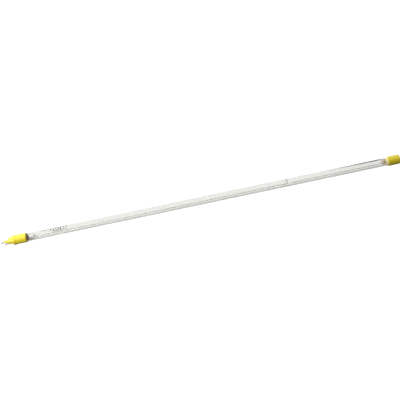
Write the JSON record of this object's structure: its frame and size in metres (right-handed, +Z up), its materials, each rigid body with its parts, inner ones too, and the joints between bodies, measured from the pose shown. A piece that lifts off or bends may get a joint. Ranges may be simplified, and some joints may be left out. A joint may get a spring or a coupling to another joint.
{
  "type": "uvc germicidal lamp tube",
  "caption": "Long slim clear quartz discharge lamp with a stepped pin base at one end, a plain yellow cap at the other and return wires along the glass.",
  "frame": {"origin": "on the lamp's axis, halfway between the ends of the longest pins and the end of the far cap", "axes": "+X along the lamp from the pin base to the far cap, +Z up as the lamp lies at rest with its return wires lowest; the shorter pins stand on the side 38 degrees below -Y"},
  "size_m": [0.973, 0.0234, 0.0234],
  "materials": {
    "cap_yellow": "bright yellow moulding with a low sheen",
    "quartz": "clear polished quartz",
    "cement_brown": "rough brown base cement",
    "cement_cream": "rough cream base cement",
    "pin_metal": "plated, dulled",
    "emitter": "chalky coating on a wound wire",
    "foil_metal": "rolled foil",
    "wire_nickel": "drawn wire",
    "crimp_metal": "plated barrel",
    "bead_ceramic": "unglazed pinkish white",
    "sleeve_clear": "translucent sleeve",
    "band_film": "translucent shrunk film",
    "amalgam": "dull silvery drop"
  },
  "bodies": {
    "root": {"amalgam_pellet": "amalgam", "base_bead_back": "bead_ceramic", "base_bead_front": "bead_ceramic", "base_cap": "cap_yellow", "base_cement": "cement_brown", "base_filament": "emitter", "base_foil_back": "foil_metal", "base_foil_front": "foil_metal", "base_lead_back": "wire_nickel", "base_lead_front": "wire_nickel", "base_post_back": "wire_nickel", "base_post_front": "wire_nickel", "far_bead_back": "bead_ceramic", "far_bead_front": "bead_ceramic", "far_cap": "cap_yellow", "far_cement": "cement_cream", "far_crimp_back": "crimp_metal", "far_crimp_front": "crimp_metal", "far_filament": "emitter", "far_foil_back": "foil_metal", "far_foil_front": "foil_metal", "far_lead_back": "wire_nickel", "far_lead_front": "wire_nickel", "far_post_back": "wire_nickel", "far_post_front": "wire_nickel", "quartz_tube": "quartz", "retaining_band": "band_film", "return_wire_back": "wire_nickel", "return_wire_front": "wire_nickel", "step_pin_lower": "pin_metal", "step_pin_upper": "pin_metal", "tip_pin_lower": "pin_metal", "tip_pin_upper": "pin_metal", "wire_sleeve_back": "sleeve_clear", "wire_sleeve_front": "sleeve_clear"}
  },
  "joints": []
}
